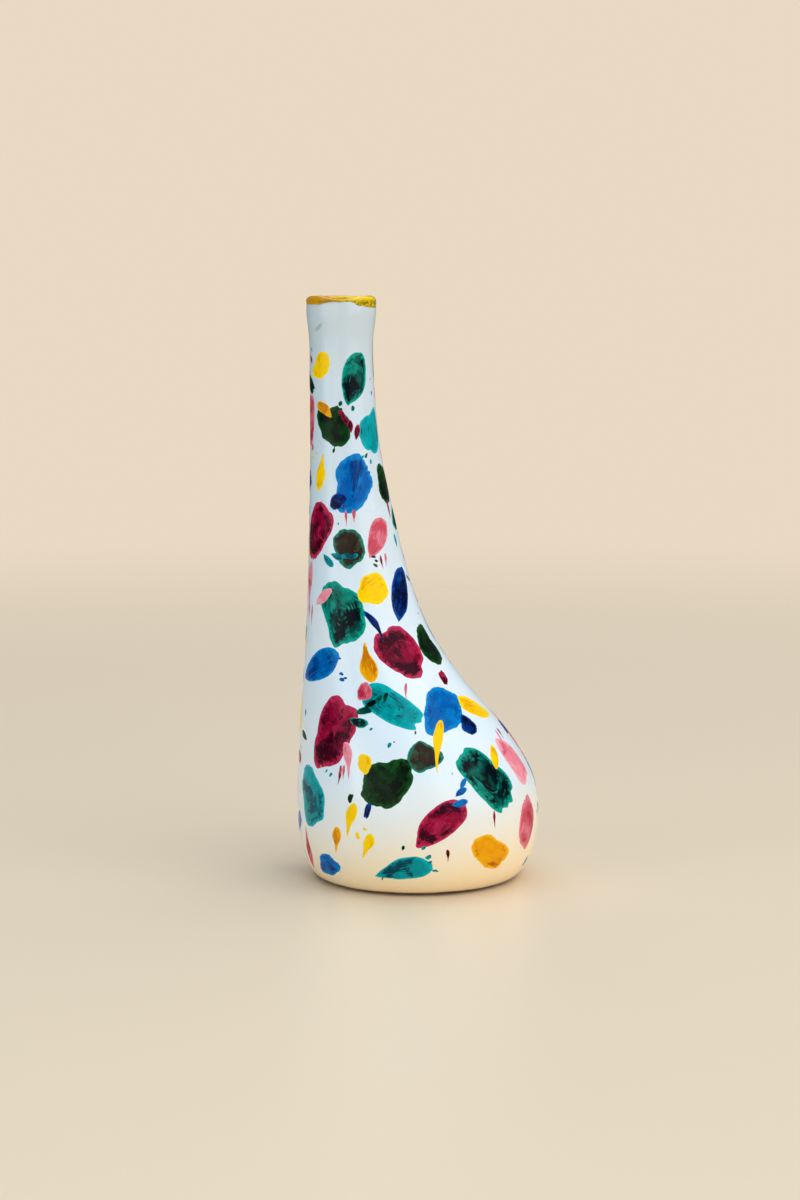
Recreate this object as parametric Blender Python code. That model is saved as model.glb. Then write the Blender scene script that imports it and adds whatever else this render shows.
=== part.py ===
"""An oil cruet of glazed earthenware, with its neck above one side of a broad round belly.

The left side stands nearly upright and the right side sweeps down in one long curve. Every level slice
through the body is a circle, whose centre moves from the middle of the foot to the axis of the neck.

The pot is fired clay with three coats of glaze, and each is a solid of its own: a white coat outside that
stops just above the table, a lining that makes the porous clay hold oil, and a yellow band over the lip.

Metres, +Z up. The origin is on the table, under the middle of the belly. The dip in the lip faces -Y.
"""

import math

import bmesh
import bpy
from mathutils import Matrix, Vector

# The form over the glaze. Heights run up from the table, drops run down from the top of the lip, and a
# shift is how far a slice's centre lies to the right of the belly's.
HEIGHT = 0.270

FOOT_RADIUS = 0.0435
FOOT_SHIFT = -0.0015

BELLY_HEIGHT = 0.031
BELLY_RADIUS = 0.0567

HIP_HEIGHT = 0.045
HIP_RADIUS = 0.0557
HIP_SHIFT = -0.0009

FLANK_HEIGHT = 0.064
FLANK_RADIUS = 0.0505
FLANK_SHIFT = -0.0054

SHOULDER_HEIGHT = 0.092
SHOULDER_RADIUS = 0.0378
SHOULDER_SHIFT = -0.0162

NECK_ROOT_HEIGHT = 0.120
NECK_ROOT_RADIUS = 0.0278
NECK_ROOT_SHIFT = -0.0245

NECK_MIDDLE_HEIGHT = 0.165
NECK_MIDDLE_RADIUS = 0.0203
NECK_MIDDLE_SHIFT = -0.0306

NECK_TOP_DROP = 0.057
NECK_TOP_RADIUS = 0.01555
NECK_TOP_SHIFT = -0.0345

WAIST_DROP = 0.0225
WAIST_RADIUS = 0.0147
WAIST_SHIFT = -0.03565

LIP_DROP = 0.007
LIP_RADIUS = 0.0162
LIP_SHIFT = -0.03555
LIP_CROWN = 0.0026

# The pouring dip, a shallow sag in the front of the lip's crown.
DIP_DEPTH = 0.0015
DIP_HALF_ANGLE = math.radians(42)
DIP_DIRECTION = math.radians(-90)

# The thicknesses, and the gap that keeps touching layers apart.
CLAY_WALL = 0.0034
CLAY_FLOOR = 0.0055
GLAZE = 0.0006
CLEARANCE = 0.0003

# The underside: a flat ring of bare clay round a shallow recess.
FOOT_RING_WIDTH = 0.009
FOOT_RECESS = 0.002
BARE_FOOT = 0.0009
INNER_HEEL = 0.012

# The yellow band's depth below the top of the lip, which is more on the right, and inside the bore. Under the
# dip its lower edge rises, all the way within the first angle and no more beyond the second.
BAND_DEPTH = 0.0045
BAND_LEAN = 0.0008
BAND_SADDLE = 0.0002
BAND_RIPPLE = 0.0001
BAND_RISE = 0.0013
BAND_RISE_FULL = math.radians(20)
BAND_RISE_END = math.radians(38)
INNER_BAND_DEPTH = 0.006

# How finely the slices are faceted.
SIDES = 44
HEEL_LEVELS = 5
BODY_LEVELS = 14
LIP_LEVELS = 3
CROWN_STEPS = 6
INNER_HEEL_LEVELS = 4

# Depths of the layers, measured inwards from the finished outside and square to it.
COAT_BACK = GLAZE
CLAY_FACE = COAT_BACK + CLEARANCE
CLAY_BACK = CLAY_FACE + CLAY_WALL
LINING_BACK = CLAY_BACK + CLEARANCE
LINING_FACE = LINING_BACK + GLAZE
CROWN_BASE = HEIGHT - LIP_CROWN
CLAY_FLOOR_TOP = FOOT_RECESS + CLAY_FLOOR
SLOPE_STEP = 0.0002


def monotone_curve(knots):
    """A smooth curve through (position, value) knots that never overshoots them, as a function of position."""
    places = [place for place, _ in knots]
    values = [value for _, value in knots]
    spans = [after - before for before, after in zip(places, places[1:])]
    rises = [(after - before) / span for before, after, span in zip(values, values[1:], spans)]
    slopes = [rises[0]]
    for index in range(1, len(rises)):
        before, after = rises[index - 1], rises[index]
        if before * after <= 0:
            slopes.append(0.0)
            continue
        weight_before = 2 * spans[index] + spans[index - 1]
        weight_after = spans[index] + 2 * spans[index - 1]
        slopes.append((weight_before + weight_after) / (weight_before / before + weight_after / after))
    slopes.append(0.0)
    slopes[0] = 0.0

    def value_at(place):
        place = min(max(place, places[0]), places[-1])
        index = max(i for i in range(len(spans)) if places[i] <= place)
        share = (place - places[index]) / spans[index]
        square, cube = share**2, share**3
        return (
            (2 * cube - 3 * square + 1) * values[index]
            + (cube - 2 * square + share) * spans[index] * slopes[index]
            + (3 * square - 2 * cube) * values[index + 1]
            + (cube - square) * spans[index] * slopes[index + 1]
        )

    return value_at


SECTIONS = [
    (BELLY_HEIGHT, 0.0, BELLY_RADIUS),
    (HIP_HEIGHT, HIP_SHIFT, HIP_RADIUS),
    (FLANK_HEIGHT, FLANK_SHIFT, FLANK_RADIUS),
    (SHOULDER_HEIGHT, SHOULDER_SHIFT, SHOULDER_RADIUS),
    (NECK_ROOT_HEIGHT, NECK_ROOT_SHIFT, NECK_ROOT_RADIUS),
    (NECK_MIDDLE_HEIGHT, NECK_MIDDLE_SHIFT, NECK_MIDDLE_RADIUS),
    (HEIGHT - NECK_TOP_DROP, NECK_TOP_SHIFT, NECK_TOP_RADIUS),
    (HEIGHT - WAIST_DROP, WAIST_SHIFT, WAIST_RADIUS),
    (HEIGHT - LIP_DROP, LIP_SHIFT, LIP_RADIUS),
]
shift_above_belly = monotone_curve([(height, shift) for height, shift, _ in SECTIONS])
radius_above_belly = monotone_curve([(height, radius) for height, _, radius in SECTIONS])


def finished_slice(height):
    """Centre shift and radius of the level slice through the glazed outside."""
    if height >= BELLY_HEIGHT:
        return shift_above_belly(height), radius_above_belly(height)
    # Below the belly the heel is a quarter of an ellipse, which meets the foot level with the table.
    down = 1 - max(height, 0.0) / BELLY_HEIGHT
    out = math.sqrt(1 - down**2)
    return FOOT_SHIFT * (1 - out), FOOT_RADIUS + (BELLY_RADIUS - FOOT_RADIUS) * out


def layer_slice(height, depth):
    """Centre shift and radius of the level slice through the surface that lies depth inside the finished one."""
    edges = []
    for side in (-1, 1):
        low, here, high = (
            shift + side * radius
            for shift, radius in map(finished_slice, (height - SLOPE_STEP, height, height + SLOPE_STEP))
        )
        slope = (high - low) / (2 * SLOPE_STEP)
        edges.append(here - side * depth * math.hypot(1, slope))
    left, right = edges
    return (left + right) / 2, (right - left) / 2


def off_dip(angle):
    """How far an angle round the lip lies from the middle of the dip, to either side."""
    return abs((angle - DIP_DIRECTION + math.pi) % math.tau - math.pi)


def band_edge(angle):
    """Height of the yellow band's lower edge on the outside, round the lip."""
    ripple = math.sin(3 * angle + 0.8) + math.sin(7 * angle)
    depth = BAND_DEPTH + BAND_LEAN * math.cos(angle) + BAND_SADDLE * math.cos(2 * angle) + BAND_RIPPLE * ripple
    share = (BAND_RISE_END - off_dip(angle)) / (BAND_RISE_END - BAND_RISE_FULL)
    share = min(max(share, 0.0), 1.0)
    return HEIGHT - depth + BAND_RISE * share**2 * (3 - 2 * share)


def crown_rise(angle, depth):
    """How far the crown of the lip rises at an angle round it, which is less in the dip."""
    share = min(off_dip(angle) / DIP_HALF_ANGLE, 1.0)
    return LIP_CROWN - depth - DIP_DEPTH * (0.5 + 0.5 * math.cos(math.pi * share))


def level_slice(height, shift, radius):
    """A level circle, as a function that puts each angle in its place."""
    return lambda angle: Vector((shift + radius * math.cos(angle), radius * math.sin(angle), height))


def level_layer(height, depth):
    """The level circle on the surface that lies depth inside the finished one."""
    return level_slice(height, *layer_slice(height, depth))


def uneven_layer(height_at, depth):
    """A loop on that surface whose height changes with the angle."""
    return lambda angle: level_layer(height_at(angle), depth)(angle)


def crown_slices(depth):
    """Slices over the rounded top of the lip, from its outside to its bore, depth inside the finished surface."""
    shift, radius = finished_slice(CROWN_BASE)
    middle = radius - LINING_FACE / 2
    half_width = LINING_FACE / 2 - depth

    def slice_at(turn):
        def place(angle):
            height = CROWN_BASE + crown_rise(angle, depth) * math.sin(turn)
            return level_slice(height, shift, middle + half_width * math.cos(turn))(angle)

        return place

    return [slice_at(math.pi * step / CROWN_STEPS) for step in range(CROWN_STEPS + 1)]


def inner_heel_slices(depth, floor):
    """Slices over the rounded corner between the inner floor and the wall, from the floor upwards."""
    slices = []
    for step in range(INNER_HEEL_LEVELS):
        turn = math.pi / 2 * step / INNER_HEEL_LEVELS
        height = floor + INNER_HEEL * (1 - math.cos(turn))
        shift, radius = layer_slice(height, depth)
        slices.append(level_slice(height, shift, radius - INNER_HEEL * (1 - math.sin(turn))))
    return slices


def body_heights():
    """Heights of the slices from the belly to just under the crown of the lip, closest round the belly."""
    waist = HEIGHT - WAIST_DROP
    lip = HEIGHT - LIP_DROP
    shares = [(step / BODY_LEVELS) ** 1.4 for step in range(BODY_LEVELS)]
    tall = [BELLY_HEIGHT + (waist - BELLY_HEIGHT) * share for share in shares]
    short = [waist + (lip - waist) * step / LIP_LEVELS for step in range(LIP_LEVELS + 1)]
    return tall + short


def heel_heights():
    """Heights of the slices from the lower edge of the white coat to just under the belly."""
    start = math.acos(1 - BARE_FOOT / BELLY_HEIGHT)
    turns = [start + (math.pi / 2 - start) * step / HEEL_LEVELS for step in range(HEEL_LEVELS)]
    return [BELLY_HEIGHT * (1 - math.cos(turn)) for turn in turns]


def inner_heights(floor):
    """Heights of the slices up the inside wall, above the rounded corner of the floor."""
    corner = floor + INNER_HEEL
    return [corner] + [height for height in body_heights() if height > corner + CLAY_WALL]


def lofted(slices, closed):
    """A mesh through the slices. A closed one joins its last slice to its first, and an open one is capped.

    The rings are joined while they stand as a plain tube, in which the joining can't twist, and are then
    moved to their slices.
    """
    bm = bmesh.new()
    rings = [
        bmesh.ops.create_circle(bm, segments=SIDES, radius=1.0, matrix=Matrix.Translation((0, 0, level)))
        for level in range(len(slices))
    ]
    loops = [list({edge for vertex in ring["verts"] for edge in vertex.link_edges}) for ring in rings]
    pairs = list(zip(loops, loops[1:]))
    if closed:
        pairs.append((loops[-1], loops[0]))
    else:
        bmesh.ops.edgeloop_fill(bm, edges=loops[0])
        bmesh.ops.edgeloop_fill(bm, edges=loops[-1])
    for lower, upper in pairs:
        bmesh.ops.bridge_loops(bm, edges=lower + upper)
    for ring, place in zip(rings, slices):
        for vertex in ring["verts"]:
            vertex.co = place(math.atan2(vertex.co.y, vertex.co.x))
    return bm


def material(name, colour, roughness):
    """A ceramic finish."""
    made = bpy.data.materials.new(name)
    made.use_nodes = True
    shader = made.node_tree.nodes["Principled BSDF"]
    shader.inputs["Base Color"].default_value = (*colour, 1.0)
    shader.inputs["Roughness"].default_value = roughness
    shader.inputs["Metallic"].default_value = 0.0
    made.diffuse_color = (*colour, 1.0)
    return made


def finish(name, bm, finish_material, parent, origin):
    """Turns the lofted layer into a named object whose own origin is at the point given."""
    bmesh.ops.recalc_face_normals(bm, faces=bm.faces)
    # The coats are so thin that the line above can choose either way round for them.
    if bm.calc_volume(signed=True) < 0:
        bmesh.ops.reverse_faces(bm, faces=bm.faces)
    bmesh.ops.translate(bm, verts=bm.verts, vec=-origin)
    mesh = bpy.data.meshes.new(name)
    bm.to_mesh(mesh)
    bm.free()
    mesh.shade_smooth()
    mesh.set_sharp_from_angle(angle=math.radians(40))
    mesh.materials.append(finish_material)
    made = bpy.data.objects.new(name, mesh)
    bpy.context.collection.objects.link(made)
    made.parent = parent
    made.location = origin
    return made


def clay_body(parent):
    """The fired clay: foot ring, recessed base, outer wall, lip, bore and inner floor, in one loft."""
    ring_inside = FOOT_RADIUS - FOOT_RING_WIDTH
    underside = [
        level_slice(FOOT_RECESS, FOOT_SHIFT, ring_inside - FOOT_RECESS),
        level_slice(0.0, FOOT_SHIFT, ring_inside),
        level_slice(0.0, FOOT_SHIFT, FOOT_RADIUS),
    ]
    outside = [level_layer(height, CLAY_FACE) for height in heel_heights() + body_heights()]
    bore = [level_layer(height, CLAY_BACK) for height in reversed(inner_heights(CLAY_FLOOR_TOP))]
    floor = inner_heel_slices(CLAY_BACK, CLAY_FLOOR_TOP)[::-1]
    bm = lofted(underside + outside + crown_slices(CLAY_FACE) + bore + floor, closed=False)
    return finish("clay_body", bm, material("fired_clay", (0.30, 0.13, 0.065), 0.85), parent, Vector())


def white_coat(parent):
    """The white glaze outside, from just above the table up to the yellow band."""

    def coat_edge(angle):
        return band_edge(angle) - CLEARANCE

    heights = heel_heights() + body_heights()[:-1]
    face = [level_layer(height, 0.0) for height in heights] + [uneven_layer(coat_edge, 0.0)]
    back = [level_layer(height, COAT_BACK) for height in heights] + [uneven_layer(coat_edge, COAT_BACK)]
    bm = lofted(face + back[::-1], closed=True)
    return finish("white_coat", bm, material("white_glaze", (0.86, 0.88, 0.90), 0.12), parent, Vector())


def glaze_lining(parent):
    """The glaze inside, an open cup that covers the floor and the bore up to the yellow band."""
    edge = HEIGHT - INNER_BAND_DEPTH - CLEARANCE
    floor_back = CLAY_FLOOR_TOP + CLEARANCE
    layers = []
    for floor, depth in ((floor_back, LINING_BACK), (floor_back + GLAZE, LINING_FACE)):
        wall = [height for height in inner_heights(floor) if height < edge - CLAY_WALL] + [edge]
        layers.append(inner_heel_slices(depth, floor) + [level_layer(height, depth) for height in wall])
    back, face = layers
    bm = lofted(back + face[::-1], closed=False)
    return finish("glaze_lining", bm, material("lining_glaze", (0.80, 0.76, 0.66), 0.15), parent, Vector())


def lip_band(parent):
    """The yellow glaze over the lip: down to an uneven edge outside, and a little way into the bore."""
    inner_edge = HEIGHT - INNER_BAND_DEPTH
    face = [uneven_layer(band_edge, 0.0)] + crown_slices(0.0) + [level_layer(inner_edge, LINING_FACE)]
    back = [uneven_layer(band_edge, COAT_BACK)] + crown_slices(COAT_BACK) + [level_layer(inner_edge, LINING_BACK)]
    bm = lofted(face + back[::-1], closed=True)
    origin = Vector((LIP_SHIFT, 0.0, HEIGHT))
    return finish("lip_band", bm, material("yellow_glaze", (0.72, 0.42, 0.02), 0.18), parent, origin)


def main():
    for old in list(bpy.data.objects):
        bpy.data.objects.remove(old)
    cruet = bpy.data.objects.new("oil_cruet", None)
    bpy.context.collection.objects.link(cruet)
    clay_body(cruet)
    white_coat(cruet)
    glaze_lining(cruet)
    lip_band(cruet)


main()
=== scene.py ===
"""The finished surfaces of a hand-painted oil cruet of glazed earthenware.

The pot leans: its neck stands above the left side of a broad round belly. It is fired clay under a white
glaze, with a yellow glaze over the lip, a pale glaze inside, and dabs, leaves, drops and specks of coloured
glaze all over the white. Each dab is a thin raised lens of its own that follows the pot's surface.

Metres, +Z up. The front of the pot faces -Y.
"""

import logging
import math
import random
from collections.abc import Sequence
from dataclasses import dataclass, field
from enum import Enum

import bmesh
import bpy
import numpy as np
from mathutils import Matrix, Vector

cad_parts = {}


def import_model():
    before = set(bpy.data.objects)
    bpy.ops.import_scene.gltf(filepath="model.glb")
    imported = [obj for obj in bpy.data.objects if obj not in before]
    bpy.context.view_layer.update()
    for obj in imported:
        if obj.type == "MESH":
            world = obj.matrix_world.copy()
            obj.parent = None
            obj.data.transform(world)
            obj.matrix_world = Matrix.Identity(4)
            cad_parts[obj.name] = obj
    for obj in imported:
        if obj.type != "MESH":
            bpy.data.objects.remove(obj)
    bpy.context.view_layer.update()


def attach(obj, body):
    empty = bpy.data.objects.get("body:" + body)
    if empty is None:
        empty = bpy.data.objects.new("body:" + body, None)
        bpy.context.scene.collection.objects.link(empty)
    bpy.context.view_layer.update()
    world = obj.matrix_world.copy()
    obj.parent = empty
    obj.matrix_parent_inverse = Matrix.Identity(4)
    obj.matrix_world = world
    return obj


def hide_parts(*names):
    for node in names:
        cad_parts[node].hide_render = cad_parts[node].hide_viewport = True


LOG = logging.getLogger("oil_cruet")
MM = 0.001
BODY = "root"

Colour = tuple[float, float, float]
Levels = tuple[int, int, int]


class SmoothCurve:
    """A curve through knots that never overshoots them, level at both ends."""

    def __init__(self, places: Sequence[float], values: Sequence[float]) -> None:
        """Works out the slope at each knot.

        Args:
            places: Where the knots are, rising.
            values: The curve's value at each knot.
        """
        self.places = np.array(places, float)
        self.values = np.array(values, float)
        spans = np.diff(self.places)
        rises = np.diff(self.values) / spans
        slopes = [0.0]
        for index in range(1, len(rises)):
            before, after = rises[index - 1], rises[index]
            if before * after <= 0:
                slopes.append(0.0)
                continue
            first = 2 * spans[index] + spans[index - 1]
            second = spans[index] + 2 * spans[index - 1]
            slopes.append((first + second) / (first / before + second / after))
        slopes.append(0.0)
        self.spans = spans
        self.slopes = np.array(slopes)

    def __call__(self, place: np.ndarray) -> np.ndarray:
        """The curve's value at each place.

        Args:
            place: Positions along the curve.

        Returns:
            One value for each position.
        """
        place = np.clip(place, self.places[0], self.places[-1])
        index = np.clip(np.searchsorted(self.places, place, side="right") - 1, 0, len(self.spans) - 1)
        span = self.spans[index]
        share = (place - self.places[index]) / span
        square, cube = share**2, share**3
        return (
            (2 * cube - 3 * square + 1) * self.values[index]
            + (cube - 2 * square + share) * span * self.slopes[index]
            + (3 * square - 2 * cube) * self.values[index + 1]
            + (cube - square) * span * self.slopes[index + 1]
        )


class SoftCurve:
    """The same kind of curve with its sudden changes of bend smoothed away, except near its ends."""

    step = 0.1 * MM
    blur = 3.2 * MM
    ease_in = 14 * MM
    ease_out = 9 * MM

    def __init__(self, places: Sequence[float], values: Sequence[float]) -> None:
        """Works out a fine table of the curve.

        Args:
            places: Where the knots are, rising, in metres.
            values: The curve's value at each knot.
        """
        self.places = np.arange(places[0], places[-1] + self.step, self.step)
        sharp = SmoothCurve(places, values)(self.places)
        reach = round(3 * self.blur / self.step)
        weights = np.exp(-0.5 * (np.arange(-reach, reach + 1) * self.step / self.blur) ** 2)
        blurred = np.convolve(np.pad(sharp, reach, mode="edge"), weights / weights.sum(), mode="valid")
        rising = np.clip((self.places - places[0]) / self.ease_in, 0, 1)
        falling = np.clip((places[-1] - self.places) / self.ease_out, 0, 1)
        share = rising**2 * (3 - 2 * rising) * falling**2 * (3 - 2 * falling)
        self.values = sharp + share * (blurred - sharp)

    def __call__(self, place: np.ndarray) -> np.ndarray:
        """The curve's value at each place."""
        return np.interp(place, self.places, self.values)


@dataclass(frozen=True)
class Section:
    """A level slice through the pot: its height, how far its centre lies to the right, and its radius."""

    height: float
    shift: float
    radius: float


@dataclass
class PotForm:
    """The pot's outside as a stack of circles whose centres lean from the foot to the neck.

    A depth is measured inwards from this outside and square to it. A turn is an angle round the pot in
    radians from +X, so the front is at -90 degrees.
    """

    height: float = 0.270
    foot_radius: float = 0.0435
    foot_shift: float = -0.0015
    sections: tuple[Section, ...] = (
        Section(0.031, 0.0, 0.0567),
        Section(0.045, -0.0009, 0.0557),
        Section(0.064, -0.0054, 0.0505),
        Section(0.092, -0.0162, 0.0378),
        Section(0.120, -0.0245, 0.0278),
        Section(0.165, -0.0306, 0.0203),
        Section(0.213, -0.0345, 0.01555),
        Section(0.2475, -0.03565, 0.0147),
        Section(0.263, -0.03555, 0.0162),
    )
    lip_shift: float = -0.03555
    lip_crown: float = 0.0026
    wall: float = 0.0052
    dip_depth: float = 0.0015
    dip_half_angle: float = math.radians(42)
    skin: float = 0.00016
    wobble: float = 0.00016
    walk_steps: int = 10
    walk_bottom: float = 0.0006
    walk_margin: float = 0.004
    shift_curve: SoftCurve = field(init=False)
    radius_curve: SoftCurve = field(init=False)

    def __post_init__(self) -> None:
        """Draws the two curves through the sections."""
        heights = [section.height for section in self.sections]
        self.shift_curve = SoftCurve(heights, [section.shift for section in self.sections])
        self.radius_curve = SoftCurve(heights, [section.radius for section in self.sections])

    def outside(self, height: np.ndarray) -> tuple[np.ndarray, np.ndarray]:
        """The slices through the outside.

        Args:
            height: Heights above the table.

        Returns:
            The shift and the radius at each height.
        """
        belly = self.sections[0]
        down = np.clip(1 - height / belly.height, 0, 1)
        out = np.sqrt(1 - down**2)
        low_shift = self.foot_shift * (1 - out)
        low_radius = self.foot_radius + (belly.radius - self.foot_radius) * out
        above = height >= belly.height
        shift = np.where(above, self.shift_curve(height), low_shift)
        return shift, np.where(above, self.radius_curve(height), low_radius)

    def slopes(self, height: np.ndarray) -> tuple[np.ndarray, np.ndarray]:
        """How fast the outside leans and swells on the way up.

        Args:
            height: Heights above the table.

        Returns:
            The change of the shift and the change of the radius with the height.
        """
        tick = 0.1 * MM
        above, below = self.outside(height + tick), self.outside(height - tick)
        return (above[0] - below[0]) / (2 * tick), (above[1] - below[1]) / (2 * tick)

    def layer(self, height: np.ndarray, depth: np.ndarray | float) -> tuple[np.ndarray, np.ndarray]:
        """The slices through the surface that lies depth inside the outside.

        Args:
            height: Heights above the table.
            depth: How deep the surface lies, one value or one for each height.

        Returns:
            The shift and the radius at each height.
        """
        shift, radius = self.outside(height)
        lean, swell = self.slopes(height)
        left, right = np.hypot(1, lean - swell), np.hypot(1, lean + swell)
        return shift + depth * (left - right) / 2, radius - depth * (left + right) / 2

    def unevenness(self, turn: np.ndarray, height: np.ndarray) -> np.ndarray:
        """How far the hand-made surface lies inside the true one."""
        waves = 0.5 * np.sin(2 * turn + 0.7 + 18 * height) + 0.3 * np.sin(3 * turn - 1.1 + 41 * height)
        return self.skin + self.wobble * (1 + waves + 0.2 * np.sin(5 * turn + 67 * height))

    def place(self, turn: np.ndarray, height: np.ndarray, depth: np.ndarray | float) -> np.ndarray:
        """Points on a layer of the pot, with the hand-made unevenness and the dip in the lip.

        Args:
            turn: Angles round the pot.
            height: Heights above the table.
            depth: How deep under the finished skin the points lie.

        Returns:
            The points, with x, y and z along the last axis.
        """
        shift, radius = self.layer(height, depth + self.unevenness(turn, height))
        return self.ring(turn, height, shift, radius)

    def ring(self, turn: np.ndarray, height: np.ndarray, shift: np.ndarray, radius: np.ndarray) -> np.ndarray:
        """Points on circles. The crown of the lip is flatter in the pouring dip at its front.

        Args:
            turn: Angles round the pot.
            height: Heights above the table.
            shift: How far the circles' centres lie to the right.
            radius: The circles' radii.

        Returns:
            The points, with x, y and z along the last axis.
        """
        x, y = shift + radius * np.cos(turn), radius * np.sin(turn)
        climb = np.clip((height - (self.height - self.lip_crown)) / self.lip_crown, 0, 1)
        away = np.abs((turn + math.pi / 2 + math.pi) % math.tau - math.pi)
        bell = 0.5 + 0.5 * np.cos(math.pi * np.clip(away / self.dip_half_angle, 0, 1))
        return np.stack(np.broadcast_arrays(x, y, height - self.dip_depth * bell * climb), axis=-1)

    def walk(
        self, turn: float, height: float, right: np.ndarray, up: np.ndarray
    ) -> tuple[np.ndarray, np.ndarray]:
        """Walks over the surface from one point, so that a flat pattern lies on it without stretching.

        Args:
            turn: The angle of the starting point.
            height: The height of the starting point.
            right: How far to walk to the right, as seen from outside.
            up: How far to walk upwards.

        Returns:
            The turn and the height of each point reached.
        """
        steps = self.walk_steps
        turns, heights = np.full(right.shape, turn), np.full(right.shape, height)
        for _ in range(steps):
            _, radius = self.outside(heights)
            lean, swell = self.slopes(heights)
            across = -lean * np.sin(turns)
            rise = up / steps / np.hypot(1, lean * np.cos(turns) + swell)
            turns = turns + (right / steps - across * rise) / radius
            heights = np.clip(heights + rise, self.walk_bottom, self.height - self.walk_margin)
        return turns, heights


def band_edge(form: PotForm, turn: np.ndarray) -> np.ndarray:
    """Height of the yellow glaze's lower edge on the outside, round the lip. It is thinnest under the dip.

    Args:
        form: The pot's shape.
        turn: Angles round the pot.

    Returns:
        One height for each angle.
    """
    knots = [0, 13, 45, 59, 77, 103, 112, 118, 131, 143, 180, 225, 280, 330, 360]
    depths = [4.3, 4.25, 4.3, 3.85, 3.05, 3.0, 3.3, 4.5, 5.0, 5.5, 5.75, 5.0, 4.2, 4.5, 4.3]
    depth = SmoothCurve(knots, depths)(np.degrees(turn + math.pi) % 360)
    ripple = np.sin(11 * turn + 0.8) + np.sin(19 * turn) + np.sin(31 * turn + 1.0)
    return form.height - (depth + 0.055 * ripple) * MM


def coat_foot(turn: np.ndarray) -> np.ndarray:
    """Height of the white glaze's lower edge above the table, which a wet sponge left a little uneven."""
    return (1.15 + 0.12 * np.sin(4 * turn + 1) + 0.08 * np.sin(9 * turn) + 0.05 * np.sin(23 * turn)) * MM


class Skins:
    """Makes closed skins whose points come from a grid of rows, each row going once round the pot."""

    def __init__(self, sides: int) -> None:
        """Keeps the count of points in a row."""
        self.sides = sides

    def turns(self) -> np.ndarray:
        """The angle of each point in a row."""
        return np.arange(self.sides) * math.tau / self.sides

    def column(self, x: float, y: float) -> int:
        """A point's number in its row, from where it lies round the middle."""
        return round(math.atan2(y, x) % math.tau / math.tau * self.sides) % self.sides

    def tube(self, name: str, grid: np.ndarray, finish: bpy.types.Material) -> bpy.types.Object:
        """A skin that closes on itself like a tyre: the last row joins the first.

        Args:
            name: The new object's name.
            grid: Points as rows, points in a row, and coordinates.
            finish: Its material.

        Returns:
            The object.
        """
        rows, radius = len(grid), 3
        bm = bmesh.new()
        upright = Matrix.Translation((radius, 0, 0)) @ Matrix.Rotation(math.pi / 2, 4, "X")
        profile = bmesh.ops.create_circle(bm, segments=rows, radius=1.0, matrix=upright)["verts"]
        edges = list({edge for vertex in profile for edge in vertex.link_edges})
        bmesh.ops.spin(
            bm,
            geom=profile + edges,
            cent=(0, 0, 0),
            axis=(0, 0, 1),
            angle=math.tau,
            steps=self.sides,
            use_merge=True,
        )
        for vertex in bm.verts:
            x, y, z = vertex.co
            row = round(math.atan2(z, math.hypot(x, y) - radius) % math.tau / math.tau * rows) % rows
            vertex.co = grid[row, self.column(x, y)]
        return self.finished(name, bm, finish)

    def bag(self, name: str, grid: np.ndarray, finish: bpy.types.Material) -> bpy.types.Object:
        """A skin that closes at a point at both ends, as a ball does.

        Args:
            name: The new object's name.
            grid: Points as rows, points in a row, and coordinates. The end points are the middles of the
                first and the last row.
            finish: Its material.

        Returns:
            The object.
        """
        rows = len(grid)
        bm = bmesh.new()
        bmesh.ops.create_uvsphere(bm, u_segments=self.sides, v_segments=rows + 1, radius=1.0)
        for vertex in bm.verts:
            x, y, z = vertex.co
            row = round((1 - math.acos(max(-1.0, min(1.0, z))) / math.pi) * (rows + 1)) - 1
            if row in (-1, rows):
                vertex.co = grid[max(0, min(row, rows - 1))].mean(axis=0)
            else:
                vertex.co = grid[row, self.column(x, y)]
        return self.finished(name, bm, finish)

    @staticmethod
    def finished(name: str, bm: bmesh.types.BMesh, finish: bpy.types.Material) -> bpy.types.Object:
        """Faces the mesh outwards and makes an object of it.

        Args:
            name: The new object's name.
            bm: The mesh, which is freed.
            finish: Its material.

        Returns:
            The object, with smooth shading.
        """
        if bm.calc_volume(signed=True) < 0:
            bmesh.ops.reverse_faces(bm, faces=bm.faces)
        mesh = bpy.data.meshes.new(name)
        bm.to_mesh(mesh)
        bm.free()
        mesh.shade_smooth()
        mesh.materials.append(finish)
        made = bpy.data.objects.new(name, mesh)
        bpy.context.scene.collection.objects.link(made)
        return made


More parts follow.
